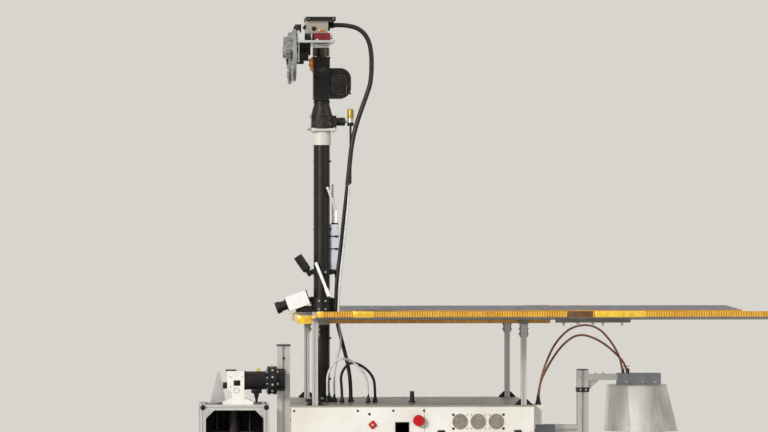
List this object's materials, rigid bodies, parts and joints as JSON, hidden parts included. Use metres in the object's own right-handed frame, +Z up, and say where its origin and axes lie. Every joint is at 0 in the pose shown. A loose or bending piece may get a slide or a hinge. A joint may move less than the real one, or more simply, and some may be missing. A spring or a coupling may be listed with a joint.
{
  "type": "planetary rover",
  "caption": "Wheeled exploration rover test vehicle with a camera mast on a pan and tilt head, a solar roof on posts, a front drill on a lifting rail and a rear ground radar horn.",
  "frame": {"origin": "on the ground under the middle of the rover's overall box, cords left out", "axes": "+X forwards, towards the drill; +Y to the rover's left; +Z up"},
  "size_m": [2.057, 1.54, 2.11],
  "materials": {
    "white_panel": "satin",
    "deck_gray": "satin",
    "battery": "matte",
    "fan_gray": "matte",
    "stop_red": "glossy",
    "wheel_metal": "machined",
    "leg_metal": "satin",
    "motor_black": "satin",
    "bogie_metal": "satin",
    "profile_metal": "anodised",
    "solar_panel": "satin",
    "mast_black": "satin",
    "collar_white": "matte",
    "camera_white": "satin",
    "camera_black": "matte",
    "radio_white": "satin",
    "aerial_white": "satin",
    "sensor_black": "satin",
    "bench_metal": "brushed",
    "filter_metal": "machined",
    "camera_red": "satin",
    "actuator_black": "satin",
    "yoke_white": "matte",
    "case_black": "matte",
    "spindle_steel": "brushed",
    "bracket_blue": "satin",
    "horn_metal": "folded sheet",
    "cord_black": "satin",
    "cord_pale": "satin",
    "cord_copper": "satin"
  },
  "bodies": {
    "chassis": {"floor_panel": "white_panel", "end_panels": "white_panel", "side_panels": "white_panel", "deck_plate": "deck_gray", "battery": "battery", "fans": "fan_gray", "stop_buttons": "stop_red", "steering_motors": "motor_black", "side_bogies": "bogie_metal", "rear_bogie": "bogie_metal", "panel_posts": "profile_metal", "panel_brackets": "profile_metal", "center_panel": "solar_panel", "panel_wings": "solar_panel", "mast_tube": "mast_black", "mast_collar": "collar_white", "mast_pedestal": "mast_black", "mast_clamps": "mast_black", "box_camera": "camera_white", "spot_camera": "camera_black", "radio_box": "radio_white", "mast_aerials": "aerial_white", "position_sensor": "sensor_black", "deck_aerial": "sensor_black", "drill_rail": "profile_metal", "radar_frame": "profile_metal", "radar_bracket": "bracket_blue", "radar_horn": "horn_metal", "mast_bundle": "cord_black", "white_lead": "cord_pale", "deck_loop_black": "cord_black", "deck_loop_gray": "cord_pale", "radar_lead_near": "cord_copper", "radar_lead_far": "cord_copper"},
    "pan_head": {"pan_housing": "mast_black", "head_conduit_lower": "cord_black"},
    "tilt_head": {"tilt_yoke": "bench_metal", "camera_bench": "bench_metal", "filter_wheels": "filter_metal", "stereo_cameras": "camera_black", "bench_cameras": "camera_red", "top_frame": "camera_black", "head_conduit_upper": "cord_black"},
    "drill_carriage": {"drill_actuator": "actuator_black"},
    "drill_box": {"drill_yoke": "yoke_white", "drill_frame": "profile_metal", "drill_case": "case_black", "drill_spindle": "spindle_steel"},
    "steer_front_left": {"leg_front_left": "leg_metal"},
    "wheel_front_left": {"wheel_front_left": "wheel_metal"},
    "steer_front_right": {"leg_front_right": "leg_metal"},
    "wheel_front_right": {"wheel_front_right": "wheel_metal"},
    "steer_middle_left": {"leg_middle_left": "leg_metal"},
    "wheel_middle_left": {"wheel_middle_left": "wheel_metal"},
    "steer_middle_right": {"leg_middle_right": "leg_metal"},
    "wheel_middle_right": {"wheel_middle_right": "wheel_metal"},
    "steer_rear_left": {"leg_rear_left": "leg_metal"},
    "wheel_rear_left": {"wheel_rear_left": "wheel_metal"},
    "steer_rear_right": {"leg_rear_right": "leg_metal"},
    "wheel_rear_right": {"wheel_rear_right": "wheel_metal"}
  },
  "joints": [
    {"name": "head_pan", "type": "hinge", "parent": "chassis", "child": "pan_head", "pos_m": [0.575, 0, 1.808], "axis": [0, 0, 1], "range_deg": [-159, 159], "deforming": ["head_conduit_lower"]},
    {"name": "head_tilt", "type": "hinge", "parent": "pan_head", "child": "tilt_head", "pos_m": [0.5776, 0, 1.918], "axis": [0, 1, 0], "range_deg": [-31, 47], "deforming": ["head_conduit_upper"]},
    {"name": "drill_lift", "type": "slide", "parent": "chassis", "child": "drill_carriage", "axis": [0, 0, 1], "range_m": [-0.23, 0]},
    {"name": "drill_turn", "type": "hinge", "parent": "drill_carriage", "child": "drill_box", "pos_m": [0.87, 0.3, 0.79], "axis": [1, 0, 0], "range_deg": [-90, 0]},
    {"name": "steering_front_left", "type": "hinge", "parent": "chassis", "child": "steer_front_left", "pos_m": [0.825, 0.52, 0.31], "axis": [0, 0, 1], "range_deg": [-50, 50]},
    {"name": "spin_front_left", "type": "hinge", "parent": "steer_front_left", "child": "wheel_front_left", "pos_m": [0.825, 0.52, 0.14353], "axis": [0, 1, 0], "continuous": true},
    {"name": "steering_front_right", "type": "hinge", "parent": "chassis", "child": "steer_front_right", "pos_m": [0.825, -0.52, 0.31], "axis": [0, 0, 1], "range_deg": [-50, 50]},
    {"name": "spin_front_right", "type": "hinge", "parent": "steer_front_right", "child": "wheel_front_right", "pos_m": [0.825, -0.52, 0.14353], "axis": [0, 1, 0], "continuous": true},
    {"name": "steering_middle_left", "type": "hinge", "parent": "chassis", "child": "steer_middle_left", "pos_m": [0.235, 0.52, 0.31], "axis": [0, 0, 1], "range_deg": [-50, 50]},
    {"name": "spin_middle_left", "type": "hinge", "parent": "steer_middle_left", "child": "wheel_middle_left", "pos_m": [0.235, 0.52, 0.14353], "axis": [0, 1, 0], "continuous": true},
    {"name": "steering_middle_right", "type": "hinge", "parent": "chassis", "child": "steer_middle_right", "pos_m": [0.235, -0.52, 0.31], "axis": [0, 0, 1], "range_deg": [-50, 50]},
    {"name": "spin_middle_right", "type": "hinge", "parent": "steer_middle_right", "child": "wheel_middle_right", "pos_m": [0.235, -0.52, 0.14353], "axis": [0, 1, 0], "continuous": true},
    {"name": "steering_rear_left", "type": "hinge", "parent": "chassis", "child": "steer_rear_left", "pos_m": [-0.335, 0.52, 0.31], "axis": [0, 0, 1], "range_deg": [-50, 50]},
    {"name": "spin_rear_left", "type": "hinge", "parent": "steer_rear_left", "child": "wheel_rear_left", "pos_m": [-0.335, 0.52, 0.14353], "axis": [0, 1, 0], "continuous": true},
    {"name": "steering_rear_right", "type": "hinge", "parent": "chassis", "child": "steer_rear_right", "pos_m": [-0.335, -0.52, 0.31], "axis": [0, 0, 1], "range_deg": [-50, 50]},
    {"name": "spin_rear_right", "type": "hinge", "parent": "steer_rear_right", "child": "wheel_rear_right", "pos_m": [-0.335, -0.52, 0.14353], "axis": [0, 1, 0], "continuous": true}
  ]
}
